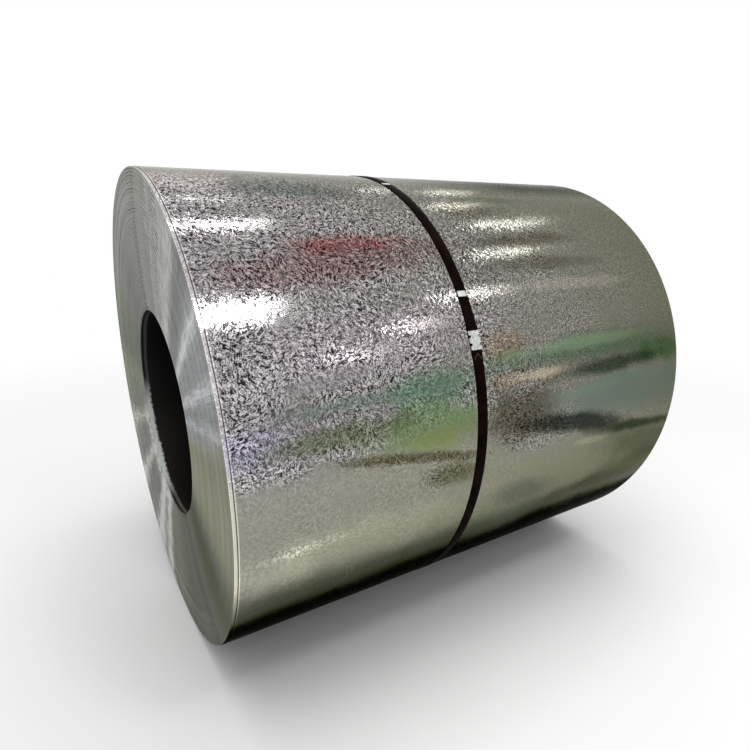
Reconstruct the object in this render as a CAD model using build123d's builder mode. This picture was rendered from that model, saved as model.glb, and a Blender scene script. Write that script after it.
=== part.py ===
from build123d import *
import math
import os

# Coil of galvanised steel sheet lying on its side, held by one steel strap with a crimped seal.
# Millimetres. X runs along the coil's axis, Z is up, -Y is the side that carries the seal.
# The origin is on the floor, under the middle of the coil.

# Sheet and winding
sheet_width = 1500.0
sheet_gauge = 1.0
outer_diameter = 1356.0
bore_diameter = 610.0

# Ends of the winding: the turns wandered sideways while the coil was wound
turn_groups = 14
bore_inset = 10.5
group_wander = 1.4
wander_step = 1.2
mouth_turns = 5
mouth_inset = 1.0
last_lap_inset = 10.0
last_lap_turns = 2
tail_angle = -35.0

# Strap round the girth
strap_width = 32.0
strap_gauge = 0.9
strap_from_near_end = 661.0
free_end = 15.5
hidden_end = 14.0
lap_ramp = 26.0

# Seal crimped over the strap's two ends
seal_length = 49.0
seal_gauge = 0.9
seal_play = 0.3
seal_flange = 11.0
seal_corner = 1.1
seal_lift = 22.5
notch_spacing = 21.0
notch_length = 8.0
notch_root = 5.0
notch_depth = 5.1
notch_height = 7.2

outer_radius = outer_diameter / 2
bore_radius = bore_diameter / 2
wound_radius = outer_radius - last_lap_turns * sheet_gauge
axis_height = outer_radius + strap_gauge
deepest_inset = max(bore_inset + mouth_inset, last_lap_inset)
near_end = -(sheet_width + deepest_inset) / 2
coil_axis = Axis((0, 0, axis_height), (1, 0, 0))

os.makedirs("parts", exist_ok=True)


def group_inset(group):
    """How far a group of turns stands back from the near end's plane; group 0 is the outermost."""
    share = group / (turn_groups - 1)
    wander = group_wander * math.sin(math.pi * share) * math.sin(wander_step * group) ** 2
    return bore_inset * share**2 + wander


def wound_rings():
    """(inner radius, outer radius, inset) of each group of turns, from the outside in."""
    mouth_radius = bore_radius + mouth_turns * sheet_gauge
    pitch = (wound_radius - mouth_radius) / turn_groups
    rings = []
    for group in range(turn_groups):
        top = wound_radius - group * pitch
        rings.append((top - pitch, top, group_inset(group)))
    rings.append((bore_radius, mouth_radius, bore_inset + mouth_inset))
    return rings


def end_line(end):
    """Stepped line of one end of the winding, from the rim to the bore, as (x, height) points."""
    points = []
    for inner, outer, inset in wound_rings():
        points.append((end + inset, outer))
        points.append((end + inset, inner))
    return points


# The winding is one turned solid. Every turn is a strip of the same width, so what stands
# back at the near end stands out by as much at the far end.
winding_plane = Plane(origin=(0, 0, axis_height), x_dir=(1, 0, 0), z_dir=(0, -1, 0))
near_line = end_line(near_end)
far_line = end_line(near_end + sheet_width)

# The outermost laps end in a free edge, the coil's tail. Four quarter arcs make the turn
# that grows by one gauge from the foot of the tail's step to its top.
tail_plane = Plane(
    origin=(near_end + last_lap_inset, 0, axis_height),
    x_dir=(0, math.cos(math.radians(tail_angle)), math.sin(math.radians(tail_angle))),
    z_dir=(1, 0, 0),
)
quarter_growth = sheet_gauge / 4
first_radius = outer_radius - sheet_gauge + quarter_growth / 2
first_centre = Vector(-quarter_growth / 2, quarter_growth / 2)
centre_moves = [Vector(0, 0), Vector(0, -1), Vector(1, 0), Vector(0, 1)]

with BuildPart() as coil:
    with BuildSketch(winding_plane):
        with BuildLine():
            Polyline(*near_line, *reversed(far_line), close=True)
        make_face()
    revolve(axis=coil_axis)
    with BuildSketch(tail_plane):
        with BuildLine():
            centre = first_centre
            arcs = []
            for quarter, move in enumerate(centre_moves):
                centre = centre + move * quarter_growth
                radius = first_radius + quarter * quarter_growth
                arcs.append(CenterArc(centre, radius, 90 * quarter, 90))
            Line(arcs[-1] @ 1, arcs[0] @ 0)
        make_face()
        Circle(wound_radius, mode=Mode.SUBTRACT)
    extrude(amount=sheet_width)
coil.part.label = "coil"
export_step(coil.part, "parts/coil.step")


# The strap is drawn as if the seal were on top, and its plane turns that to the front. Under
# the seal it runs straight, a seal's gauge above the coil, and it meets the coil in a tangent
# on each side.
lift = math.radians(seal_lift)
up_the_coil = Vector(0, math.sin(lift), math.cos(lift))
out_of_the_coil = Vector(0, -math.cos(lift), math.sin(lift))
strap_x = near_end + strap_from_near_end
strap_plane = Plane(
    origin=(strap_x, 0, axis_height), x_dir=up_the_coil, z_dir=(1, 0, 0)
)
seal_half = seal_length / 2
strap_bed = outer_radius + seal_gauge
reach = math.hypot(seal_half, strap_bed)
touch_angle = math.atan2(seal_half, strap_bed) + math.acos(outer_radius / reach)
touch_x = outer_radius * math.sin(touch_angle)
touch_y = outer_radius * math.cos(touch_angle)

with BuildSketch() as strap_inside:
    with BuildLine():
        bed = Line((-seal_half, strap_bed), (seal_half, strap_bed))
        right_run = Line(bed @ 1, (touch_x, touch_y))
        girth = ThreePointArc(right_run @ 1, (0, -outer_radius), (-touch_x, touch_y))
        Line(girth @ 1, bed @ 0)
    make_face()

with BuildSketch() as one_layer:
    add(strap_inside.sketch)
    offset(amount=strap_gauge, kind=Kind.INTERSECTION)

with BuildSketch() as two_layers:
    add(strap_inside.sketch)
    offset(amount=2 * strap_gauge, kind=Kind.INTERSECTION)

# Where the strap laps over itself it is cut square at the free end, and slopes down onto the
# coil past the hidden end.
lap_left = -(seal_half + free_end)
lap_top = strap_bed + 3 * strap_gauge
run_way = right_run % 0
run_out = Vector(-run_way.Y, run_way.X)
slope_top = right_run @ 0 + run_way * hidden_end + run_out * 2 * strap_gauge
slope_foot = slope_top + run_way * lap_ramp - run_out * strap_gauge
slope = slope_foot - slope_top

with BuildPart() as notch:
    with BuildSketch(Plane.XY.offset(-seal_corner)):
        half_length = notch_length / 2
        half_root = notch_root / 2
        with BuildLine():
            Polyline(
                (-half_length, -seal_play),
                (half_length, -seal_play),
                (half_root, notch_depth),
                (-half_root, notch_depth),
                close=True,
            )
        make_face()
    extrude(amount=notch_height)


def notch_places():
    """The notches' planes, two on each side of the seal, pointing in from its edge."""
    places = []
    edge = strap_width / 2 + seal_play + seal_gauge
    for side in (-1, 1):
        for along in (-notch_spacing / 2, notch_spacing / 2):
            spot = (
                Vector(strap_x + side * edge, 0, axis_height)
                + up_the_coil * along
                + out_of_the_coil * outer_radius
            )
            places.append(
                Plane(origin=spot, x_dir=up_the_coil * side, z_dir=out_of_the_coil)
            )
    return places


with BuildPart() as strap:
    with BuildSketch(strap_plane):
        add(one_layer.sketch)
        add(strap_inside.sketch, mode=Mode.SUBTRACT)
    extrude(amount=strap_width / 2, both=True)
    with BuildSketch(strap_plane):
        with BuildLine():
            Polyline(
                (lap_left, strap_bed - lap_ramp),
                (lap_left, lap_top),
                slope_top - slope / 2,
                slope_foot + slope / 2,
                close=True,
            )
        make_face()
        add(two_layers.sketch, mode=Mode.INTERSECT)
        add(one_layer.sketch, mode=Mode.SUBTRACT)
    extrude(amount=strap_width / 2, both=True)
    for place in notch_places():
        add(place * notch.part, mode=Mode.SUBTRACT)
strap.part.label = "strap"
export_step(strap.part, "parts/strap.step")


# The seal is a sleeve of folded sheet: a top, two sides, and two flanges tucked under the strap.
seal_inside_width = strap_width + 2 * seal_play
seal_inside_height = 2 * strap_gauge + seal_play
seal_plane = Plane(
    origin=Vector(strap_x, 0, axis_height) + out_of_the_coil * outer_radius,
    x_dir=(1, 0, 0),
    z_dir=up_the_coil * -1,
)
slot_width = seal_inside_width - 2 * seal_flange

with BuildPart() as seal:
    with BuildSketch(seal_plane):
        outside_height = seal_inside_height + 2 * seal_gauge
        with Locations((0, outside_height / 2)):
            RectangleRounded(
                seal_inside_width + 2 * seal_gauge, outside_height, seal_corner
            )
            Rectangle(seal_inside_width, seal_inside_height, mode=Mode.SUBTRACT)
        with Locations((0, seal_gauge / 2)):
            Rectangle(slot_width, 2 * seal_gauge, mode=Mode.SUBTRACT)
    extrude(amount=seal_length / 2, both=True)
    for place in notch_places():
        add(place * notch.part, mode=Mode.SUBTRACT)
seal.part.label = "seal"
export_step(seal.part, "parts/seal.step")
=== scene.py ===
import bpy
import math
import random
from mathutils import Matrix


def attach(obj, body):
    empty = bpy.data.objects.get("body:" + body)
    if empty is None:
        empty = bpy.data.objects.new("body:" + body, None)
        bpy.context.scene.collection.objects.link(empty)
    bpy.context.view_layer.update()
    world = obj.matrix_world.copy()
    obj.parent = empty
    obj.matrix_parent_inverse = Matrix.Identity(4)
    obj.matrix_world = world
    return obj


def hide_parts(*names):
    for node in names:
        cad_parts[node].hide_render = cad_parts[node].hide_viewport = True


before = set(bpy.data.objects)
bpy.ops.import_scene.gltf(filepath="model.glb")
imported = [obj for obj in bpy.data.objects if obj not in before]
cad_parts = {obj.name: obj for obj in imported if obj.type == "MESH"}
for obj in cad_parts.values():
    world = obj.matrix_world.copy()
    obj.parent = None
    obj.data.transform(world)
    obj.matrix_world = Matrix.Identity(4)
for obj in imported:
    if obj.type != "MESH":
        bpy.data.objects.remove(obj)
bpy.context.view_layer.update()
print("frame loaded:", sorted(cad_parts))

# A coil of galvanised sheet lying on its side, in metres. Its axis runs along X, and its near
# end faces the camera. Degrees round it are counted up from the front.
coil = {
    "sheetWidth": 1.5,
    "gauge": 0.001,
    "outerRadius": 0.678,
    "boreRadius": 0.305,
    "lapsSetBack": 2,
    "mouthDepth": 0.005,
    "boreInset": 0.0105,
    "mouthInset": 0.001,
    "strapGauge": 0.0009,
}
woundRadius = coil["outerRadius"] - coil["lapsSetBack"] * coil["gauge"]
mouthRadius = coil["boreRadius"] + coil["mouthDepth"]
deepestInset = coil["boreInset"] + coil["mouthInset"]
nearEnd = -(coil["sheetWidth"] + deepestInset) / 2
farEnd = nearEnd + coil["sheetWidth"]
axisHeight = coil["outerRadius"] + coil["strapGauge"]
axisPoint = (0, 0, axisHeight)


# Small steps of modelling by hand

def letGo():
    if bpy.context.object and bpy.context.object.mode != "OBJECT":
        bpy.ops.object.mode_set(mode="OBJECT")
    bpy.ops.object.select_all(action="DESELECT")


def pickUp(piece):
    letGo()
    piece.select_set(True)
    bpy.context.view_layer.objects.active = piece


def fixPlace(piece):
    # its place and turn go into its mesh
    pickUp(piece)
    bpy.ops.object.transform_apply(location=True, rotation=True, scale=True)


def startPoint(name, place):
    letGo()
    bpy.ops.mesh.primitive_circle_add(vertices=3, radius=0.001, location=place)
    piece = bpy.context.object
    piece.name = name
    bpy.ops.object.mode_set(mode="EDIT")
    bpy.ops.mesh.select_all(action="SELECT")
    bpy.ops.mesh.merge(type="CENTER")
    return piece


def drawTo(dx, dy, dz):
    bpy.ops.mesh.extrude_vertices_move(TRANSFORM_OT_translate={"value": (dx, dy, dz)})


def drawOutline(name, points):
    # a line through (x, radius) points straight above the axis
    x, radius = points[0]
    piece = startPoint(name, (x, 0, axisHeight + radius))
    for nextX, nextRadius in points[1:]:
        drawTo(nextX - x, 0, nextRadius - radius)
        x, radius = nextX, nextRadius
    bpy.ops.mesh.select_all(action="SELECT")
    return piece


def sweepAround(degrees, steps, centre=axisPoint):
    # positive turns the top toward the front
    bpy.ops.mesh.spin(steps=steps, angle=-math.radians(degrees), center=centre, axis=(1, 0, 0))


def closeShell(gap=0.00002):
    bpy.ops.mesh.select_all(action="SELECT")
    bpy.ops.mesh.remove_doubles(threshold=gap)
    bpy.ops.mesh.normals_make_consistent(inside=False)
    bpy.ops.object.mode_set(mode="OBJECT")


def turnAboutAxis(piece, degrees):
    # positive turns the top toward the front
    fixPlace(piece)
    bpy.context.scene.cursor.location = axisPoint
    bpy.ops.object.origin_set(type="ORIGIN_CURSOR")
    piece.rotation_euler = (math.radians(degrees), 0, 0)
    fixPlace(piece)


def settle(piece, material, node, smoothBelow=30):
    # the finished piece stands for the CAD's node
    fixPlace(piece)
    bpy.ops.object.shade_smooth_by_angle(angle=math.radians(smoothBelow))
    piece.data.materials.clear()
    piece.data.materials.append(material)
    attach(piece, "root")
    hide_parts(node)


# Nodes of a material

def newMaterial(name):
    material = bpy.data.materials.new(name)
    material.use_nodes = True
    tree = material.node_tree
    shader = tree.nodes["Principled BSDF"]
    return material, tree, shader


def addNode(tree, kind, **settings):
    node = tree.nodes.new(kind)
    for key, value in settings.items():
        setattr(node, key, value)
    return node


def mathNode(tree, operation, *values):
    node = addNode(tree, "ShaderNodeMath", operation=operation)
    for socket, value in zip(node.inputs, values):
        if isinstance(value, (int, float)):
            socket.default_value = value
        else:
            tree.links.new(value, socket)
    return node.outputs[0]


def plus(tree, first, second):
    return mathNode(tree, "ADD", first, second)


def minus(tree, first, second):
    return mathNode(tree, "SUBTRACT", first, second)


def times(tree, first, second):
    return mathNode(tree, "MULTIPLY", first, second)


def farFrom(tree, value, centre):
    return mathNode(tree, "ABSOLUTE", minus(tree, value, centre))


def vectorNode(tree, operation, *values):
    node = addNode(tree, "ShaderNodeVectorMath", operation=operation)
    for socket, value in zip(node.inputs, values):
        if isinstance(value, tuple):
            socket.default_value = value
        else:
            tree.links.new(value, socket)
    return node.outputs["Value"] if operation in ("LENGTH", "DOT_PRODUCT") else node.outputs[0]


def joinNode(tree, *values):
    node = addNode(tree, "ShaderNodeCombineXYZ")
    for socket, value in zip(node.inputs, values):
        tree.links.new(value, socket)
    return node.outputs[0]


def mapNode(tree, value, fromLow, fromHigh, toLow=0, toHigh=1, smooth=False):
    node = addNode(tree, "ShaderNodeMapRange")
    if smooth:
        node.interpolation_type = "SMOOTHSTEP"
    tree.links.new(value, node.inputs["Value"])
    node.inputs["From Min"].default_value = fromLow
    node.inputs["From Max"].default_value = fromHigh
    node.inputs["To Min"].default_value = toLow
    node.inputs["To Max"].default_value = toHigh
    return node.outputs["Result"]


def eitherWay(tree, value, low, high, amount):
    # noise from low to high becomes a shift from minus the amount to plus the amount
    return mapNode(tree, value, low, high, -amount, amount)


def grey(level):
    return (level, level, level)


def rampNode(tree, factor, stops):
    # each stop is (position, grey level or colour)
    node = addNode(tree, "ShaderNodeValToRGB")
    ramp = node.color_ramp
    while len(ramp.elements) < len(stops):
        ramp.elements.new(0.5)
    for element, (position, shade) in zip(ramp.elements, stops):
        element.position = position
        element.color = (*shade, 1) if isinstance(shade, tuple) else (*grey(shade), 1)
    tree.links.new(factor, node.inputs["Fac"])
    return node.outputs["Color"]


def mixColour(tree, factor, first, second, blend="MIX"):
    node = addNode(tree, "ShaderNodeMix", data_type="RGBA", blend_type=blend)
    sockets = (node.inputs[0], node.inputs[6], node.inputs[7])
    for socket, value in zip(sockets, (factor, first, second)):
        if isinstance(value, (int, float)):
            socket.default_value = value
        elif isinstance(value, tuple):
            socket.default_value = (*value, 1)
        else:
            tree.links.new(value, socket)
    return node.outputs[2]


def tinted(tree, factor, colour, tint):
    return mixColour(tree, factor, colour, tint, "MULTIPLY")


def noiseNode(tree, place, scale, detail=2, distortion=0, roughness=0.5, flat=False):
    node = addNode(tree, "ShaderNodeTexNoise", noise_dimensions="2D" if flat else "3D")
    node.inputs["Scale"].default_value = scale
    node.inputs["Detail"].default_value = detail
    node.inputs["Distortion"].default_value = distortion
    node.inputs["Roughness"].default_value = roughness
    tree.links.new(place, node.inputs["Vector"])
    return node.outputs


def lineNoise(tree, distance, scale, detail):
    node = addNode(tree, "ShaderNodeTexNoise", noise_dimensions="1D")
    node.inputs["Scale"].default_value = scale
    node.inputs["Detail"].default_value = detail
    tree.links.new(distance, node.inputs["W"])
    return node.outputs["Fac"]


# Where the degrees start anew: on the side at the lower back, on the ends at the bottom
seams = {"side": -145, "end": -95}


def coilPlaces(tree, seam):
    # the place itself, how far along the axis and above it, the degrees, and the way out
    place = addNode(tree, "ShaderNodeTexCoord").outputs["Object"]
    fromAxis = vectorNode(tree, "SUBTRACT", place, axisPoint)
    split = addNode(tree, "ShaderNodeSeparateXYZ")
    tree.links.new(fromAxis, split.inputs[0])
    middle = math.radians(seam + 180)
    ahead = vectorNode(tree, "DOT_PRODUCT", fromAxis, (0, -math.cos(middle), math.sin(middle)))
    beside = vectorNode(tree, "DOT_PRODUCT", fromAxis, (0, math.sin(middle), math.cos(middle)))
    turn = times(tree, mathNode(tree, "ARCTAN2", beside, ahead), 180 / math.pi)
    return {
        "place": place,
        "along": split.outputs["X"],
        "above": split.outputs["Z"],
        "turn": plus(tree, turn, seam + 180),
        "outward": vectorNode(tree, "MULTIPLY", fromAxis, (0, 1, 1)),
    }


def centred(tree, colour, amount):
    # a noise colour as a vector that points any way
    middle = vectorNode(tree, "SUBTRACT", colour, grey(0.5))
    return vectorNode(tree, "MULTIPLY", middle, grey(amount))


def leanBy(tree, *leans):
    # the surface normal, leaned by each vector
    normal = addNode(tree, "ShaderNodeNewGeometry").outputs["Normal"]
    for lean in leans:
        normal = vectorNode(tree, "ADD", normal, lean)
    return vectorNode(tree, "NORMALIZE", normal)


# The outermost lap stands back from the near end, and its free edge is at the lower back
lastLap = {
    "inset": 0.010,
    "tailAngle": -35,
    "quarterSteps": 60,
    "depth": 0.0025,
    "edge": 0.0003,
}

# Galvanised face of the sheet. Where a value has four numbers, the first two are where it
# starts and ends, and the last two are what it goes from and to.
spangle = {
    "swirlScale": 24,
    "bendScale": 11,
    "bend": 0.05,
    "strokeScale": 172,
    "strokeStretch": (0.5, 1, 1),
    "speckScale": 320,
    "speckShare": (-0.25, 0.30, 0.36, 0.66),
    "shades": [(0.385, 0.010), (0.437, 0.050), (0.475, 0.24), (0.54, 0.385), (0.63, 0.70)],
    "dull": (0.25, 0.25, 0.24),
    # how far the crystals stand out from the dull tone
    "driftScale": 4,
    "ragged": 0.05,
    "borderRise": (-0.12, 0.03, 0.055, -0.05),
    "border": (-0.03, 0.03, 0.14, 1),
    "alongCoil": (-0.12, 0.50, 1, 0.34),
    "overTop": (0.645, 0.672, 1, 0.35),
    "patchScale": 8,
    "patches": (0.35, 0.62, 0.62, 1.35),
    "rimReach": 0.006,
    "rimShare": 0.25,
    # painted reflection and shade: a pinkish tint at the near end that turns to a heavier, darker
    # olive toward the far end, where the coil mirrors a darker room, and a yellowish tint below the
    # border, where it mirrors the floor
    "mirroredTint": [(0, (1.10, 1.04, 1.07)), (0.45, (0.94, 0.91, 0.84)), (1, (0.66, 0.67, 0.50))],
    "mirroredLowTint": (1.02, 1.05, 0.90),
    "mirroredLowFrom": (0.02, -0.06),
    # shine
    "roughness": (0.09, 0.16),
    "lean": 0.15,
    "waveScale": 5,
    "wave": 0.012,
    "grazing": (0.62, 0.62, 0.58),
    "grazingFar": (0.09, 0.10, 0.075),
    "farFrom": (-0.05, 0.40),
    "farAbove": (0.615, 0.665),
}

# Painted shade on the underside: a darker band, and below it a near-black band, where the coil
# mirrors the shadowed floor beneath it
underShade = {
    "ragged": 0.03,
    "shadeHeights": (-0.23, -0.31),
    "shadeDrop": (0.3, 0.7, 0, 0.08),
    "shade": (0.42, 0.46, 0.36),
    "heights": (-0.305, -0.400),
    "colour": (0.018, 0.019, 0.014),
    "grazing": (0.14, 0.14, 0.11),
    "roughness": 0.25,
}

# Painted highlights on the edges of the laps and on the exposed band of the winding, and a painted
# shadow line in the step between them: metres from the near end, and the change
rimReach = 0.016
rimGleamsAndShadow = [
    (0.0, 2.8), (0.0018, 2.8), (0.0024, 2.1), (0.0076, 2.1), (0.0081, 0.35), (0.0099, 0.35),
    (0.0101, 2.4), (0.0122, 2.2), (0.0132, 1.0),
]

# Patches in the zinc's colour, most of them painted reflections of the room: its coloured light,
# painted highlights and dark bands; the two round the back are plain tints. Each is (metres along
# the axis, degrees), its half sizes, degrees it climbs per metre, what it does to the colour, and
# how far it hides the crystals, below 0 showing more
patchEdge = {"scale": 7, "detail": 6, "roughness": 0.68, "ragged": 0.42, "fade": (1.3, 0.35)}
tintsAndReflections = [
    # near half, from the top down
    ((-0.68, 70.5), (0.12, 6.5), 0, (1.95, 1.78, 1.80), 0.3),
    ((-0.42, 66), (0.19, 4.5), -4, (0.58, 0.66, 0.66), 0),
    ((-0.34, 46.8), (0.19, 2.8), 2, (0.84, 0.47, 0.46), 0),
    ((-0.40, 42), (0.34, 5), 6, (0.77, 0.58, 0.58), -0.6),
    ((-0.30, 26), (0.34, 8), 4, (1.10, 1.04, 1.12), 0.15),
    ((-0.50, 19), (0.13, 2.4), 8, (1.0, 1.0, 1.02), 0.55),
    ((-0.44, 14.2), (0.30, 1.8), 1, (0.85, 1.0, 0.95), 0.45),
    ((-0.24, 14), (0.15, 4), 0, (0.74, 1.02, 0.82), 0.2),
    ((-0.50, 8.5), (0.20, 3), 2, (0.55, 0.63, 0.44), 0.2),
    ((-0.25, 6), (0.20, 5), 0, (0.76, 0.98, 0.62), 0.65),
    ((-0.24, 3.8), (0.10, 2.2), 2, (1.04, 1.02, 0.80), 0.5),
    ((-0.20, 7.5), (0.16, 2.2), 4, (0.92, 1.04, 0.96), 0),
    ((-0.70, 10), (0.10, 4), 0, (1.08, 1.06, 1.30), 0),
    ((-0.29, 0.2), (0.24, 1.3), -14, (0.42, 0.38, 0.30), -3),
    ((-0.19, -5.5), (0.10, 3.2), -8, (0.44, 0.44, 0.34), -3),
    ((-0.60, -13.3), (0.12, 1.6), 4, (1.26, 1.24, 1.24), -2),
    ((-0.42, -17), (0.44, 8), 0, (1.38, 1.40, 1.32), 0),
    ((-0.66, -19), (0.10, 6), 0, (1.22, 1.22, 1.22), 0),
    # far half
    ((0.08, 67), (0.12, 3.5), 0, (1.32, 1.32, 1.28), 0),
    ((0.20, 63), (0.16, 2.2), 0, (0.66, 0.72, 0.58), 0),
    ((0.10, 57.5), (0.14, 4), 0, (0.72, 0.69, 0.62), 0),
    ((0.22, 46.6), (0.20, 2.4), 3, (0.56, 0.52, 0.46), 0),
    ((0.24, 39.5), (0.22, 2.0), 0, (0.66, 0.62, 0.56), 0),
    ((0.30, 33.5), (0.28, 1.8), 0, (1.48, 1.38, 1.40), 0.3),
    ((0.00, 21), (0.10, 3.5), 0, (1.02, 0.86, 0.74), 0),
    ((0.02, 45), (0.20, 10), 0, (0.84, 0.84, 0.84), 0),
    ((0.34, 17.2), (0.46, 3.6), 0.5, (0.63, 0.88, 0.66), 0.4),
    ((0.30, 18.4), (0.30, 1.7), 1, (1.50, 1.60, 1.56), 0.5),
    ((0.66, 13.4), (0.20, 3.4), -2, (0.45, 0.76, 0.47), 0.3),
    ((0.42, 11.9), (0.27, 2.2), 2, (0.27, 0.34, 0.27), 0),
    ((0.11, 12.8), (0.17, 2.0), 2, (1.25, 0.94, 0.74), 0.3),
    ((0.12, 12.9), (0.12, 1.5), 2, (1.85, 2.25, 2.50), 0.6),
    ((0.05, 4), (0.15, 8), 0, (0.44, 0.40, 0.33), 0),
    ((0.52, 4), (0.42, 6.5), -3, (0.80, 0.98, 1.02), 1),
    ((0.30, 6.5), (0.20, 1.6), 3, (1.00, 1.14, 1.06), 0.8),
    ((0.27, -1.2), (0.26, 2.9), -13, (0.15, 0.17, 0.17), -1),
    ((0.60, -6.8), (0.26, 1.9), -7, (0.20, 0.26, 0.18), 0),
    ((0.35, -7.6), (0.08, 1.0), -7, (1.35, 1.33, 1.32), -3),
    ((0.10, -17), (0.13, 4), -8, (0.70, 0.73, 0.70), 0),
    ((0.70, -14), (0.30, 7), -12, (0.50, 0.53, 0.50), 0),
    ((0.52, -25), (0.30, 3), -4, (0.58, 0.48, 0.38), 0),
    ((0.10, -25), (0.22, 4), 0, (0.98, 1.10, 1.06), 0),
    ((0.62, 79), (0.36, 9), 0, (0.34, 0.38, 0.30), 0.6),
    # round the back, which the photo doesn't show
    ((0.30, 130), (0.40, 16), 0, (0.80, 0.96, 0.76), 0),
    ((-0.40, 165), (0.30, 12), 0, (1.00, 0.82, 0.76), 0),
]


def drawCrystals(tree, spot):
    # crystals are short strokes, and their direction swirls from patch to patch
    link = tree.links.new
    arc = times(tree, spot["turn"], math.radians(coil["outerRadius"]))
    unrolled = joinNode(tree, spot["along"], arc)
    bend = noiseNode(tree, unrolled, spangle["bendScale"], flat=True)
    bent = vectorNode(tree, "ADD", unrolled, centred(tree, bend["Color"], spangle["bend"]))
    swirls = addNode(tree, "ShaderNodeTexVoronoi", voronoi_dimensions="2D")
    swirls.inputs["Scale"].default_value = spangle["swirlScale"]
    link(bent, swirls.inputs["Vector"])
    swirl = addNode(tree, "ShaderNodeSeparateColor")
    link(swirls.outputs["Color"], swirl.inputs[0])
    turned = addNode(tree, "ShaderNodeVectorRotate", rotation_type="Z_AXIS")
    link(unrolled, turned.inputs["Vector"])
    link(times(tree, swirl.outputs["Red"], 2 * math.pi), turned.inputs["Angle"])
    stretched = vectorNode(tree, "MULTIPLY", turned.outputs[0], spangle["strokeStretch"])
    strokes = noiseNode(tree, stretched, spangle["strokeScale"], 1.5, 0.7, 0.6, flat=True)
    specks = noiseNode(tree, unrolled, spangle["speckScale"], 1, flat=True)
    # toward the far end they are finer, more specks than strokes
    finer = mapNode(tree, spot["along"], *spangle["speckShare"])
    level = times(tree, strokes["Fac"], minus(tree, 1, finer))
    level = plus(tree, level, times(tree, specks["Fac"], finer))
    tone = rampNode(tree, level, spangle["shades"])
    return tone, strokes["Color"], swirl.outputs["Green"]


def patchMask(tree, spot, ragged, centre, half, climb):
    ahead = minus(tree, spot["along"], centre[0])
    beside = minus(tree, spot["turn"], centre[1])
    beside = minus(tree, beside, times(tree, ahead, climb))
    across = mathNode(tree, "DIVIDE", ahead, half[0])
    away = joinNode(tree, across, mathNode(tree, "DIVIDE", beside, half[1]))
    away = plus(tree, vectorNode(tree, "LENGTH", away), ragged)
    return mapNode(tree, away, *patchEdge["fade"], smooth=True)


def crystalContrast(tree, spot, border):
    # the crystals stand out on the upper half, most of all toward the near end; their fading on the
    # lower half is painted to follow the light, as it mirrors the even floor and not the lamps
    along = spot["along"]
    crisp = mapNode(tree, border, *spangle["border"], smooth=True)
    crisp = times(tree, crisp, mapNode(tree, along, *spangle["alongCoil"]))
    crisp = times(tree, crisp, mapNode(tree, spot["above"], *spangle["overTop"]))
    patches = noiseNode(tree, spot["place"], spangle["patchScale"], 3)["Fac"]
    crisp = times(tree, crisp, mapNode(tree, patches, *spangle["patches"]))
    lapEdge = nearEnd + lastLap["inset"]
    rim = mapNode(tree, along, lapEdge, lapEdge + spangle["rimReach"], spangle["rimShare"], 1)
    return times(tree, crisp, rim)


def shadeUnderside(tree, tone, spot, drift):
    # the tone with the painted shade of the underside, and how far a place lies in its near-black
    # band
    sunk = plus(tree, spot["above"], eitherWay(tree, drift, 0.2, 0.8, underShade["ragged"]))
    shaded = minus(tree, sunk, mapNode(tree, spot["along"], *underShade["shadeDrop"]))
    shaded = mapNode(tree, shaded, *underShade["shadeHeights"], smooth=True)
    tone = tinted(tree, shaded, tone, underShade["shade"])
    underDark = mapNode(tree, sunk, *underShade["heights"], smooth=True)
    return mixColour(tree, underDark, tone, underShade["colour"]), underDark


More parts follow.
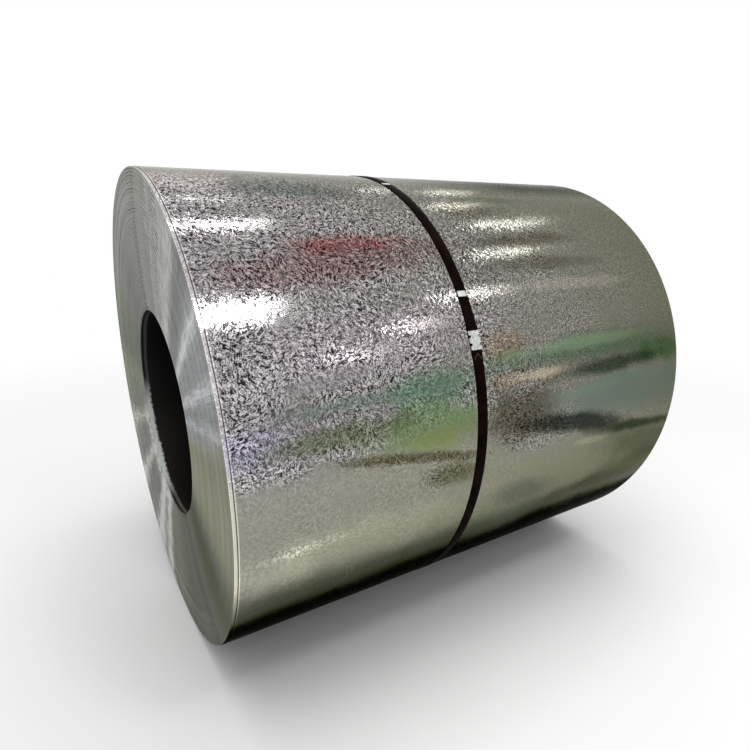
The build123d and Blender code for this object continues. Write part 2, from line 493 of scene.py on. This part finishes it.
def makeSpangledZinc():
    material, tree, shader = newMaterial("spangledZinc")
    link = tree.links.new
    spot = coilPlaces(tree, seams["side"])
    along, above = spot["along"], spot["above"]
    crystals, strokes, patchGloss = drawCrystals(tree, spot)

    noise = noiseNode(tree, spot["place"], patchEdge["scale"], patchEdge["detail"],
                      roughness=patchEdge["roughness"])
    ragged = eitherWay(tree, noise["Fac"], 0.25, 0.75, patchEdge["ragged"])
    masks = [patchMask(tree, spot, ragged, *tintPatch[:3]) for tintPatch in tintsAndReflections]

    drift = noiseNode(tree, spot["place"], spangle["driftScale"], 4)["Fac"]
    border = plus(tree, above, eitherWay(tree, drift, 0.2, 0.8, spangle["ragged"]))
    border = minus(tree, border, mapNode(tree, along, *spangle["borderRise"]))
    crisp = crystalContrast(tree, spot, border)
    for mask, tintPatch in zip(masks, tintsAndReflections):
        hides = tintPatch[4]
        if hides:
            crisp = times(tree, crisp, mapNode(tree, mask, 0, 1, 1, 1 - hides))
    tone = mixColour(tree, crisp, spangle["dull"], crystals)

    # painted reflection and shade: the tint of the room the coil mirrors, darker toward the far end,
    # and the floor's tint below the border
    mirroredTint = mapNode(tree, along, -coil["sheetWidth"] / 2, coil["sheetWidth"] / 2)
    tone = tinted(tree, 1.0, tone, rampNode(tree, mirroredTint, spangle["mirroredTint"]))
    mirroredLowTint = mapNode(tree, border, *spangle["mirroredLowFrom"])
    tone = tinted(tree, mirroredLowTint, tone, spangle["mirroredLowTint"])
    # painted reflections, highlights and dark bands, and a few plain tints
    for mask, tintPatch in zip(masks, tintsAndReflections):
        tone = tinted(tree, mask, tone, tintPatch[3])
    tone, underDark = shadeUnderside(tree, tone, spot, drift)

    # painted highlights on the edges of the laps and the exposed band, and a painted shadow in the
    # step between them
    rim = mapNode(tree, along, nearEnd, nearEnd + rimReach)
    bands = rampNode(tree, rim, [(distance / rimReach, change) for distance, change in rimGleamsAndShadow])
    tone = tinted(tree, 1.0, tone, bands)
    link(tone, shader.inputs["Base Color"])

    shader.inputs["Metallic"].default_value = 1
    # painted shade: the grazing reflection is dimmed toward the far top, where the coil mirrors a
    # darker room
    farTop = times(tree, mapNode(tree, along, *spangle["farFrom"]),
                   mapNode(tree, above, *spangle["farAbove"]))
    grazing = mixColour(tree, farTop, spangle["grazing"], spangle["grazingFar"])
    link(mixColour(tree, underDark, grazing, underShade["grazing"]), shader.inputs["Specular Tint"])
    polish = mapNode(tree, patchGloss, 0, 1, *spangle["roughness"])
    rough = plus(tree, polish, times(tree, underDark, underShade["roughness"]))
    link(rough, shader.inputs["Roughness"])
    waves = noiseNode(tree, spot["place"], spangle["waveScale"], 1)["Color"]
    lean = leanBy(tree, centred(tree, strokes, spangle["lean"]),
                  centred(tree, waves, spangle["wave"]))
    link(lean, shader.inputs["Normal"])
    return material


# Edges of the turns, seen together as the coil's end face. Their streaks, arcs, sectors and brighter
# back are painted reflections and highlights in the colour. Here too the first two of four numbers
# are where a change starts and ends, mostly in degrees.
turnMarks = {
    "base": (0.250, 0.254, 0.248),
    "roughness": 0.30,
    "anisotropic": 0.9,
    "grazing": (0.7, 0.7, 0.66),
    "groupPitch": 0.0126,
    "groupDrift": 0.5,
    "driftScale": 7,
    "turnScale": 700,
    "turnGain": (0.25, 0.75, -0.10, 0.12),
    # the low front sector is even, and the turns stand out most just above it
    "lively": (3, 12, 0.3, 1.7),
    "calmer": (22, 34, 0, 0.7),
    # streaks go astray in degrees, from turn to turn and from group to group
    "stray": 2.4,
    "sectorStray": 0.8,
    "wander": 0.9,
    "wanderScale": 0.35,
    "wanderStretch": 60,
    "loose": (40, 75, 0.8, 6),
    "tighter": (130, 200, 0, 3.5),
    "brushedScale": 1.3,
    "brushedStretch": 9,
    "brushedGain": (0.3, 0.7, 0.5, 1.45),
    "fineGain": 0.14,
    "fineShare": (2, 14, 0.15, 1),
    # (degrees, half width, gain): painted highlights, streaks that run from the bore to the rim
    "streaks": [
        (12.5, 2.2, 0.6), (20.5, 3.0, 0.95), (34.0, 3.4, 1.0), (53.5, 8.0, 1.0), (61, 4.0, 0.8),
        (70, 6.0, 0.6), (197, 4.0, 1.1), (217.5, 5.0, 1.6), (208, 1.6, 0.3),
        (242, 7.5, 3.0), (254, 6.0, 2.8), (248, 14, 0.35),
    ],
    # (degrees, then half widths outside and inside, and shares there) where groups of turns
    # show as arcs of painted lighter and darker reflection
    "arcs": [(66, 13, 4, 0, 1), (246, 26, 10, 0, 1), (106, 30, 8, 0.12, 0.85)],
    "arcLevel": 0.3,
    "arcGain": 0.55,
    # painted reflection: the upper back is brighter toward the rim
    "back": 124,
    "backWidths": (46, 20),
    "backGain": (0.33, 0.66, -0.10, 0.34),
    # (degrees, half width, softness, change): broad sectors of painted reflection, each with the
    # tone of the room it mirrors
    "sectors": [
        (-55, 29, 24, (0.50, 0.53, 0.36)), (-8, 15.5, 6, (1.10, 1.09, 0.84)),
        (-88, 12, 8, (1.22, 1.24, 1.06)), (22, 16, 6, (1.26, 1.27, 1.32)),
        (118, 26, 16, (1.10, 1.06, 1.14)), (158, 28, 16, (1.12, 1.22, 1.04)),
        (186, 16, 10, (1.32, 1.34, 1.26)), (215, 20, 10, (1.34, 1.34, 1.30)),
        (264, 8, 5, (1.10, 1.08, 0.97)),
    ],
    "sectorSlant": (-2, 3),
    # the end face is brighter near the bore's mouth, low down at the back
    "brightened": 226,
    "brightenedWidths": (42, 28),
    "brightenedRadii": (0.385, 0.325),
    "brightenedScale": 60,
    "brightenedShare": (0.35, 0.6),
    "brightenedColour": (0.95, 0.98, 0.96),
}


def streakGain(tree, swung):
    gain = None
    for degrees, halfWidth, strength in turnMarks["streaks"]:
        off = farFrom(tree, swung, degrees)
        streak = mapNode(tree, off, halfWidth, 0, 0, strength, smooth=True)
        gain = streak if gain is None else plus(tree, gain, streak)
    return gain


def arcShare(tree, turn):
    share = None
    for degrees, outside, inside, low, high in turnMarks["arcs"]:
        arc = mapNode(tree, farFrom(tree, turn, degrees), outside, inside, low, high)
        share = arc if share is None else plus(tree, share, arc)
    return share


def tintSectors(tree, tone, turn, radius, stray):
    slant = mapNode(tree, radius, coil["boreRadius"], coil["outerRadius"], *turnMarks["sectorSlant"])
    aslant = plus(tree, turn, times(tree, stray, turnMarks["sectorStray"]))
    aslant = minus(tree, aslant, slant)
    for degrees, halfWidth, softness, change in turnMarks["sectors"]:
        off = farFrom(tree, aslant, degrees)
        mask = mapNode(tree, off, halfWidth + softness / 2, halfWidth - softness / 2, smooth=True)
        tone = tinted(tree, mask, tone, change)
    return tone


def brightenMouth(tree, tone, place, turn, radius):
    nearMouth = mapNode(tree, radius, *turnMarks["brightenedRadii"], smooth=True)
    lowBack = farFrom(tree, turn, turnMarks["brightened"])
    lowBack = mapNode(tree, lowBack, *turnMarks["brightenedWidths"], smooth=True)
    uneven = noiseNode(tree, place, turnMarks["brightenedScale"], 3)["Fac"]
    uneven = mapNode(tree, uneven, *turnMarks["brightenedShare"])
    brightened = times(tree, times(tree, nearMouth, lowBack), uneven)
    return mixColour(tree, brightened, tone, turnMarks["brightenedColour"])


def makeTurnEdges():
    material, tree, shader = newMaterial("turnEdges")
    link = tree.links.new
    spot = coilPlaces(tree, seams["end"])
    place, turn = spot["place"], spot["turn"]
    radius = vectorNode(tree, "LENGTH", spot["outward"])
    away = vectorNode(tree, "NORMALIZE", spot["outward"])

    # where a place lies within its group of turns, and which single turns stand out
    drift = noiseNode(tree, place, turnMarks["driftScale"])["Fac"]
    groups = mathNode(tree, "DIVIDE", radius, turnMarks["groupPitch"])
    groups = plus(tree, groups, eitherWay(tree, drift, 0.2, 0.8, turnMarks["groupDrift"]))
    tooth = minus(tree, mathNode(tree, "FRACT", groups), 0.5)
    crest = mathNode(tree, "SINE", times(tree, groups, 2 * math.pi))
    turns = lineNoise(tree, radius, turnMarks["turnScale"], 1)
    lively = mapNode(tree, turn, *turnMarks["lively"], smooth=True)
    lively = minus(tree, lively, mapNode(tree, turn, *turnMarks["calmer"]))

    # the groups of turns break the streaks up into dashes toward the top
    rings = joinNode(tree, turn, times(tree, radius, turnMarks["wanderStretch"]))
    wander = noiseNode(tree, rings, turnMarks["wanderScale"], 3, flat=True)["Fac"]
    swing = plus(tree, tooth, eitherWay(tree, wander, 0.25, 0.75, turnMarks["wander"]))
    loose = mapNode(tree, turn, *turnMarks["loose"], smooth=True)
    loose = minus(tree, loose, mapNode(tree, turn, *turnMarks["tighter"]))
    stray = eitherWay(tree, turns, 0.2, 0.8, turnMarks["stray"])
    swung = plus(tree, plus(tree, turn, times(tree, swing, loose)), stray)
    rays = joinNode(tree, turn, times(tree, radius, turnMarks["brushedStretch"]))
    brushed = noiseNode(tree, rays, turnMarks["brushedScale"], 4, 0, 0.75, flat=True)["Fac"]
    # painted highlights: the streaks brighten the colour
    gain = streakGain(tree, swung)
    gain = times(tree, gain, mapNode(tree, brushed, *turnMarks["brushedGain"]))

    fine = times(tree, mapNode(tree, turns, *turnMarks["turnGain"]), lively)
    fineStreaks = times(tree, eitherWay(tree, brushed, 0.3, 0.7, turnMarks["fineGain"]),
                        mapNode(tree, turn, *turnMarks["fineShare"], smooth=True))
    fine = times(tree, plus(tree, fine, 1), plus(tree, fineStreaks, 1))
    arcs = mathNode(tree, "POWER", mapNode(tree, crest, -1, 1), 3)
    arcs = times(tree, minus(tree, arcs, turnMarks["arcLevel"]),
                 times(tree, arcShare(tree, turn), turnMarks["arcGain"]))
    gain = plus(tree, plus(tree, gain, fine), arcs)
    back = farFrom(tree, turn, turnMarks["back"])
    back = mapNode(tree, back, *turnMarks["backWidths"], smooth=True)
    gain = plus(tree, gain, times(tree, back, mapNode(tree, radius, *turnMarks["backGain"])))
    tone = tinted(tree, 1.0, turnMarks["base"], joinNode(tree, gain, gain, gain))
    # painted reflections: some sectors lighter, some darker and olive
    tone = tintSectors(tree, tone, turn, radius, stray)
    tone = brightenMouth(tree, tone, place, turn, radius)
    link(tone, shader.inputs["Base Color"])
    shader.inputs["Metallic"].default_value = 1
    shader.inputs["Roughness"].default_value = turnMarks["roughness"]
    shader.inputs["Anisotropic"].default_value = turnMarks["anisotropic"]
    shader.inputs["Specular Tint"].default_value = (*turnMarks["grazing"], 1)

    # gleams spread across the turns: outward on the end face, and along the axis on the steps
    normal = addNode(tree, "ShaderNodeNewGeometry").outputs["Normal"]
    facing = vectorNode(tree, "DOT_PRODUCT", normal, away)
    onStep = mathNode(tree, "GREATER_THAN", mathNode(tree, "ABSOLUTE", facing), 0.5)
    link(mixColour(tree, onStep, away, (1, 0, 0)), shader.inputs["Tangent"])
    # their rounded edges mirror the room that lies outward of the end face
    link(leanBy(tree, away), shader.inputs["Normal"])
    return material


# Inner wall of the bore, darkened as painted shade that deepens inward, with a lighter ring near the
# mouth. Shades are (metres from the near end, level).
bore = {
    "reach": 0.4,
    "shades": [
        (0.0, 0.05), (0.0120, 0.05), (0.0130, 0.012), (0.0185, 0.012), (0.0205, 0.085),
        (0.0265, 0.095), (0.0290, 0.03), (0.034, 0.035), (0.10, 0.030), (0.30, 0.022),
    ],
    "ragged": 0.002,
    "raggedScale": 9,
    "tint": (0.95, 1.0, 0.93),
    "lowHeights": (0.0, -0.2),
    "lowTint": (1.9, 1.6, 1.5),
    "roughness": 0.4,
    "shine": 0.2,
    # depths from here on are shares of the reach; the brighter mouth goes on inside, low down at the
    # back
    "metalFrom": (0.066, 0.078, 0.35, 1),
    "lip": 216,
    "lipWidths": (46, 22),
    "lipDepths": (0.070, 0.054),
    "lipRagged": 0.014,
    "lipScale": 90,
    "lipColour": (0.80, 0.84, 0.82),
}


def makeShadedBore():
    material, tree, shader = newMaterial("shadedBore")
    link = tree.links.new
    spot = coilPlaces(tree, seams["end"])
    noise = noiseNode(tree, spot["place"], bore["raggedScale"], 3)["Fac"]
    along = plus(tree, spot["along"], eitherWay(tree, noise, 0.2, 0.8, bore["ragged"]))
    depth = mapNode(tree, along, nearEnd, nearEnd + bore["reach"])
    shades = [(distance / bore["reach"], level) for distance, level in bore["shades"]]
    tone = tinted(tree, 1.0, rampNode(tree, depth, shades), bore["tint"])
    # lighter and browner low down
    low = mapNode(tree, spot["above"], *bore["lowHeights"], smooth=True)
    tone = tinted(tree, low, tone, bore["lowTint"])
    lowBack = farFrom(tree, spot["turn"], bore["lip"])
    lowBack = mapNode(tree, lowBack, *bore["lipWidths"], smooth=True)
    lipNoise = noiseNode(tree, spot["place"], bore["lipScale"], 3)["Fac"]
    lip = plus(tree, depth, eitherWay(tree, lipNoise, 0.25, 0.75, bore["lipRagged"]))
    lip = times(tree, lowBack, mapNode(tree, lip, *bore["lipDepths"]))
    link(mixColour(tree, lip, tone, bore["lipColour"]), shader.inputs["Base Color"])
    link(mapNode(tree, depth, *bore["metalFrom"]), shader.inputs["Metallic"])
    shader.inputs["Specular IOR Level"].default_value = bore["shine"]
    shader.inputs["Roughness"].default_value = bore["roughness"]
    return material


spangledZinc = makeSpangledZinc()
turnEdges = makeTurnEdges()
shadedBore = makeShadedBore()
print("zinc, turn edges and bore coloured")


# The winding: its section is drawn above the axis, turn by turn, and swept right round
winding = {
    "nearSteps": 92,
    "farSteps": 60,
    "sweepSteps": 240,
    "wander": 0.0005,
    "wanderWaves": 15.6,
    "jitter": 0.0001,
    "jump": 0.0005,
    "jumpEvery": 2,
    "rimChamfer": 0.0007,
    "seed": 5,
}


def turnInset(radius):
    share = (woundRadius - radius) / (woundRadius - mouthRadius)
    share = min(max(share, 0), 1)
    wave = math.sin(math.pi * share) * math.sin(winding["wanderWaves"] * share) ** 2
    return coil["boreInset"] * share ** 2 + winding["wander"] * wave


def turnSteps(count, draws):
    # (outer radius, inner radius, inset) of each group of turns, from the rim to the bore's mouth
    pitch = (woundRadius - mouthRadius) / count
    steps = []
    for index in range(count):
        stray = draws.uniform(-1, 1) * winding["jitter"]
        if index % winding["jumpEvery"] == winding["jumpEvery"] - 1:
            stray += draws.uniform(0.3, 1) * winding["jump"]
        top = woundRadius - index * pitch
        inset = max(turnInset(top - pitch / 2) + stray, 0)
        steps.append((top, top - pitch, inset))
    return steps


def endLine(end, steps):
    # the stepped line of one end, from the rim to the bore
    points = []
    for top, bottom, inset in steps:
        points += [(end + inset, top), (end + inset, bottom)]
    mouth = end + deepestInset
    return points + [(mouth, steps[-1][1]), (mouth, coil["boreRadius"])]


def makeWinding():
    draws = random.Random(winding["seed"])
    near = endLine(nearEnd, turnSteps(winding["nearSteps"], draws))
    far = endLine(farEnd, turnSteps(winding["farSteps"], draws))
    rimX, rimTop = near[0]
    chamfer = winding["rimChamfer"]
    rim = [(rimX + chamfer, rimTop), (rimX, rimTop - chamfer)]
    section = rim + near[1:] + far[::-1]
    piece = drawOutline("winding", section + section[:1])
    bpy.ops.mesh.remove_doubles(threshold=0.000005)
    sweepAround(360, winding["sweepSteps"])
    closeShell(0.000005)
    settle(piece, turnEdges, "coil")
    return piece


def paintWall(piece, material, fromRadius, toRadius):
    # the faces that look toward the axis or away from it, between two radii
    piece.data.materials.append(material)
    index = len(piece.data.materials) - 1
    for face in piece.data.polygons:
        radius = math.hypot(face.center.y, face.center.z - axisHeight)
        if fromRadius < radius < toRadius and abs(face.normal.x) < 0.5:
            face.material_index = index


windingPiece = makeWinding()
paintWall(windingPiece, shadedBore, 0, coil["boreRadius"] + coil["gauge"] / 2)
paintWall(windingPiece, spangledZinc, woundRadius - coil["gauge"], coil["outerRadius"])
print("winding made:", len(windingPiece.data.polygons), "faces")


# The last lap is a spiral of four quarter turns that grows by one gauge

def makeLastLap():
    edge = lastLap["edge"]
    nearX = nearEnd + lastLap["inset"]
    farX = nearX + coil["sheetWidth"]
    top = coil["outerRadius"] - coil["gauge"]
    bottom = top - lastLap["depth"]
    piece = drawOutline("lastLap", [
        (nearX, bottom), (nearX, top - edge), (nearX + edge, top),
        (farX - edge, top), (farX, top - edge), (farX, bottom),
    ])
    bpy.ops.mesh.edge_face_add()
    shift = coil["gauge"] / 8
    for y, z in ((-shift, -shift), (shift, -shift), (shift, shift), (-shift, shift)):
        sweepAround(90, lastLap["quarterSteps"], (0, y, axisHeight + z))
    closeShell()
    turnAboutAxis(piece, lastLap["tailAngle"] - 90)
    settle(piece, spangledZinc, "coil")
    return piece


lastLapPiece = makeLastLap()
print("last lap made:", len(lastLapPiece.data.polygons), "faces")


# The strap: one ribbon right round the coil, and over it the end that laps under the seal.
# Both are drawn with the seal on top, and then turned to the front.
strap = {
    "centre": nearEnd + 0.661,
    "width": 0.032,
    "sealLift": 22.5,
    "sealHalf": 0.0245,
    "sealGauge": 0.0009,
    "freeEnd": 0.0155,
    "hiddenEnd": 0.014,
    "ramp": 0.026,
    "rampDrop": 0.97,
    "sweepSteps": 240,
    "edge": 0.0003,
}

# Its black paint, with painted highlights set in as bare metal where it mirrors the lamps: (degrees,
# half width)
strapMarks = {
    "patchScale": 25,
    "shades": [(0.35, (0.003, 0.0015, 0.0015)), (0.75, (0.009, 0.004, 0.003))],
    "roughness": (0.34, 0.46),
    "shine": 0.005,
    "scuffAndGleam": (0.66, 0.68, 0.66),
    "brightened": [(33.0, 0.62), (72.0, 0.55)],
    "gleamEdge": 0.15,
    "halfGleam": 0.0125,
    # scuffs that meet in a point below the seal
    "chevron": 19.7,
    "chevronSlant": 110,
    "chevronWidths": (0.16, 0.06),
    "chevronReach": (0.0125, 0.0095, 0, 0.10),
}


def makeStrapPaint():
    material, tree, shader = newMaterial("strapPaint")
    link = tree.links.new
    spot = coilPlaces(tree, seams["side"])
    patches = noiseNode(tree, spot["place"], strapMarks["patchScale"], 4)["Fac"]
    tone = rampNode(tree, patches, strapMarks["shades"])
    across = farFrom(tree, spot["along"], strap["centre"])
    scuffAndGleam = None
    # painted highlights: bands where the paint would mirror the lamps, set in as bare metal
    for degrees, halfWidth in strapMarks["brightened"]:
        off = farFrom(tree, spot["turn"], degrees)
        edge = strapMarks["gleamEdge"]
        mask = mapNode(tree, off, halfWidth + edge, halfWidth - edge, smooth=True)
        scuffAndGleam = mask if scuffAndGleam is None else plus(tree, scuffAndGleam, mask)
    halfGleam = strapMarks["halfGleam"]
    scuffAndGleam = times(tree, scuffAndGleam, mapNode(tree, across, halfGleam + 0.001, halfGleam))
    slant = plus(tree, spot["turn"], times(tree, across, strapMarks["chevronSlant"]))
    scuff = farFrom(tree, slant, strapMarks["chevron"])
    scuff = mapNode(tree, scuff, *strapMarks["chevronWidths"])
    scuff = times(tree, scuff, mapNode(tree, across, *strapMarks["chevronReach"]))
    scuffAndGleam = mathNode(tree, "MAXIMUM", scuffAndGleam, scuff)
    link(mixColour(tree, scuffAndGleam, tone, strapMarks["scuffAndGleam"]), shader.inputs["Base Color"])
    link(scuffAndGleam, shader.inputs["Metallic"])
    link(mapNode(tree, patches, 0, 1, *strapMarks["roughness"]), shader.inputs["Roughness"])
    shader.inputs["Specular IOR Level"].default_value = strapMarks["shine"]
    return material


def makeRibbon():
    # sweeps the drawn path along X and gives it the strap's thickness and rounded edges
    bpy.ops.mesh.select_all(action="SELECT")
    bpy.ops.mesh.extrude_region_move(TRANSFORM_OT_translate={"value": (strap["width"], 0, 0)})
    closeShell()
    piece = bpy.context.object
    thicken = piece.modifiers.new("thicken", "SOLIDIFY")
    thicken.thickness = coil["strapGauge"]
    thicken.offset = 1
    rounding = piece.modifiers.new("rounding", "BEVEL")
    rounding.width = strap["edge"]
    rounding.segments = 2
    rounding.angle_limit = math.radians(40)
    for modifier in list(piece.modifiers):
        bpy.ops.object.modifier_apply(modifier=modifier.name)


def tangentFoot(bed):
    # where the straight run from the seal meets the coil, and the degrees from the seal to there
    radius = coil["outerRadius"]
    reach = math.hypot(strap["sealHalf"], bed)
    angle = math.atan2(strap["sealHalf"], bed) + math.acos(radius / reach)
    return radius * math.sin(angle), radius * math.cos(angle), math.degrees(angle)


def makeStrap():
    left = strap["centre"] - strap["width"] / 2
    half = strap["sealHalf"]
    gauge = coil["strapGauge"]
    bed = coil["outerRadius"] + strap["sealGauge"]
    footY, footZ, footDegrees = tangentFoot(bed)
    band = startPoint("strapBand", (left, half, axisHeight + bed))
    drawTo(0, -2 * half, 0)
    drawTo(0, -(footY - half), footZ - bed)
    sweepAround(360 - 2 * footDegrees, strap["sweepSteps"])
    drawTo(0, -(footY - half), bed - footZ)
    makeRibbon()

    run = math.hypot(footY - half, bed - footZ)
    runY, runZ = (footY - half) / run, (footZ - bed) / run
    freeY, freeZ = strap["freeEnd"] * runY, strap["freeEnd"] * runZ
    lap = startPoint("strapLap", (left, -half - freeY, axisHeight + bed + gauge + freeZ))
    drawTo(0, freeY, -freeZ)
    drawTo(0, 2 * half, 0)
    drawTo(0, strap["hiddenEnd"] * runY, strap["hiddenEnd"] * runZ)
    drawTo(0, strap["ramp"] * runY, strap["ramp"] * runZ - gauge * strap["rampDrop"])
    makeRibbon()
    pickUp(band)
    lap.select_set(True)
    bpy.ops.object.join()
    turnAboutAxis(band, 90 - strap["sealLift"])
    settle(band, makeStrapPaint(), "strap")
    return band


strapPiece = makeStrap()
print("strap made:", len(strapPiece.data.polygons), "faces")


# The seal keeps its CAD shape and takes a finish
sealMarks = {
    "scuffScale": 260,
    "shades": [(0.35, (0.40, 0.42, 0.40)), (0.5, (0.62, 0.64, 0.62)), (0.7, (0.88, 0.88, 0.88))],
    "roughness": (0.3, 0.7, 0.22, 0.4),
    "lean": 0.2,
}


def makeSealZinc():
    material, tree, shader = newMaterial("sealZinc")
    link = tree.links.new
    place = addNode(tree, "ShaderNodeTexCoord").outputs["Object"]
    scuffs = noiseNode(tree, place, sealMarks["scuffScale"], 4, 1)
    link(rampNode(tree, scuffs["Fac"], sealMarks["shades"]), shader.inputs["Base Color"])
    shader.inputs["Metallic"].default_value = 1
    link(mapNode(tree, scuffs["Fac"], *sealMarks["roughness"]), shader.inputs["Roughness"])
    lean = centred(tree, scuffs["Color"], sealMarks["lean"])
    link(leanBy(tree, lean), shader.inputs["Normal"])
    return material


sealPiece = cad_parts["seal"]
sealPiece.data.materials.clear()
sealPiece.data.materials.append(makeSealZinc())
print("seal finished")


# Stage: a pale floor that fades to white, and a room for the metal to mirror
stage = {
    "floorSize": 60,
    "floorColour": 0.82,
    "floorRoughness": 0.9,
    "floorShine": 0.1,
    "fadeFrom": 1.3,
    "fadeTo": 4.5,
    "mirroredWhite": 0.88,
}

# Grey levels of the room by height, its dimmer side, and the way to its paler backdrop
room = {
    "softLight": 0.75,
    "heights": [(0.0, 0.84), (0.12, 0.76), (0.35, 1.0), (0.75, 0.9), (1.0, 0.85)],
    "side": (0.2, 0.95, 1, 0.85),
    "backdropWay": (0.53, 0.85, 0),
    "backdrop": (-0.1, 0.6),
    "backdropWhite": 0.5,
}


def rayIsSeen(tree):
    path = addNode(tree, "ShaderNodeLightPath")
    seen = mathNode(tree, "MAXIMUM", path.outputs["Is Camera Ray"], path.outputs["Is Glossy Ray"])
    return mathNode(tree, "MAXIMUM", seen, path.outputs["Is Transmission Ray"])


def blendShaders(tree, share, first, second):
    node = addNode(tree, "ShaderNodeMixShader")
    for socket, value in zip(node.inputs, (share, first.outputs[0], second.outputs[0])):
        tree.links.new(value, socket)
    return node.outputs[0]


def makeFloor():
    letGo()
    bpy.ops.mesh.primitive_plane_add(size=stage["floorSize"], location=(0, 0, 0))
    floor = bpy.context.object
    floor.name = "floor"
    material, tree, shader = newMaterial("paleFloor")
    link = tree.links.new
    shader.inputs["Base Color"].default_value = (*grey(stage["floorColour"]), 1)
    shader.inputs["Roughness"].default_value = stage["floorRoughness"]
    shader.inputs["Specular IOR Level"].default_value = stage["floorShine"]
    place = addNode(tree, "ShaderNodeTexCoord").outputs["Object"]
    away = vectorNode(tree, "LENGTH", place)
    fade = mapNode(tree, away, stage["fadeFrom"], stage["fadeTo"], smooth=True)
    share = times(tree, fade, rayIsSeen(tree))
    white = addNode(tree, "ShaderNodeEmission")
    path = addNode(tree, "ShaderNodeLightPath")
    glow = mapNode(tree, path.outputs["Is Camera Ray"], 0, 1, stage["mirroredWhite"], 1)
    link(glow, white.inputs["Strength"])
    both = blendShaders(tree, share, shader, white)
    link(both, tree.nodes["Material Output"].inputs["Surface"])
    floor.data.materials.append(material)


def makeWorld():
    world = bpy.data.worlds.new("studio")
    bpy.context.scene.world = world
    world.use_nodes = True
    tree = world.node_tree
    tree.nodes.clear()
    link = tree.links.new
    direction = addNode(tree, "ShaderNodeTexCoord").outputs["Generated"]
    split = addNode(tree, "ShaderNodeSeparateXYZ")
    link(direction, split.inputs[0])
    side = mapNode(tree, split.outputs["X"], *room["side"])
    walls = tinted(tree, 1.0, rampNode(tree, split.outputs["Z"], room["heights"]), side)
    backdrop = vectorNode(tree, "DOT_PRODUCT", direction, room["backdropWay"])
    backdrop = mapNode(tree, backdrop, *room["backdrop"], smooth=True)
    paler = mixColour(tree, room["backdropWhite"], walls, grey(1))
    walls = mixColour(tree, backdrop, walls, paler)
    path = addNode(tree, "ShaderNodeLightPath")
    shown = mixColour(tree, path.outputs["Is Camera Ray"], walls, grey(1))
    seen = addNode(tree, "ShaderNodeBackground")
    seen.inputs["Strength"].default_value = 1
    link(shown, seen.inputs["Color"])
    soft = addNode(tree, "ShaderNodeBackground")
    soft.inputs["Color"].default_value = (*grey(1), 1)
    soft.inputs["Strength"].default_value = room["softLight"]
    out = addNode(tree, "ShaderNodeOutputWorld")
    link(blendShaders(tree, rayIsSeen(tree), soft, seen), out.inputs["Surface"])


# Softboxes overhead in two rows, across the coil's near end and beyond its far end, are
# (x, y, length along x, length along y, power). The panel's light isn't mirrored.
lights = {
    "softboxHeight": 4.0,
    "softboxes": [
        (0.40, -2.49, 0.62, 0.66, 22),
        (0.21, 0.31, 0.66, 0.20, 4.2),
        (0.23, 1.48, 0.64, 0.06, 0.7),
        (2.84, -3.98, 0.50, 0.22, 4.5),
        (2.95, -5.71, 0.50, 0.30, 3.6),
        (3.00, -2.55, 0.66, 0.16, 3.6),
        (2.93, -0.89, 0.60, 0.18, 2.4),
        (3.00, 0.30, 0.85, 0.18, 3.4),
        (2.66, 1.33, 0.50, 0.16, 2.0),
        (2.37, 2.76, 0.40, 0.16, 1.4),
        (3.30, 2.76, 0.70, 0.18, 2.6),
    ],
    "panelPlace": (-0.4, -0.6, 5.5),
    "panelSize": 4,
    "panelPower": 150,
}


def makeLight(name, place, sizeX, sizeY, power):
    lamp = bpy.data.lights.new(name, "AREA")
    lamp.shape = "RECTANGLE"
    lamp.size = sizeX
    lamp.size_y = sizeY
    lamp.energy = power
    light = bpy.data.objects.new(name, lamp)
    bpy.context.scene.collection.objects.link(light)
    light.location = place
    light.visible_camera = False
    return light


def makeStudio():
    for index, (x, y, sizeX, sizeY, power) in enumerate(lights["softboxes"]):
        place = (x, y, lights["softboxHeight"])
        makeLight("softbox_%d" % index, place, sizeX, sizeY, power)
    x, y, z = lights["panelPlace"]
    size = lights["panelSize"]
    panel = makeLight("overheadPanel", (x, y, z), size, size, lights["panelPower"])
    panel.visible_glossy = False
    # it faces the middle of the floor
    tilt = math.atan2(math.hypot(x, y), z)
    panel.rotation_euler = (tilt, 0, math.atan2(-y, -x) + math.radians(270))


# Where the photo was taken from. Shifts are shares of the picture's width.
view = {
    "place": (-1.0170, -1.6610, 1.2213),
    "lookDown": 18.66,
    "lookRight": 31.96,
    "lens": 26.472,
    "sensor": 36,
    "shift": (-0.008, 0.0436),
    "nearestSeen": 0.05,
}


def makeCamera():
    camera = bpy.data.cameras.new("camera")
    camera.sensor_width = view["sensor"]
    camera.lens = view["lens"]
    camera.shift_x, camera.shift_y = view["shift"]
    camera.clip_start = view["nearestSeen"]
    cameraObject = bpy.data.objects.new("camera", camera)
    bpy.context.scene.collection.objects.link(cameraObject)
    cameraObject.location = view["place"]
    tilt = math.radians(90 - view["lookDown"])
    cameraObject.rotation_euler = (tilt, 0, -math.radians(view["lookRight"]))
    bpy.context.scene.camera = cameraObject


makeFloor()
makeWorld()
makeStudio()
makeCamera()
bpy.context.scene.view_settings.view_transform = "Standard"
print("studio and camera set")
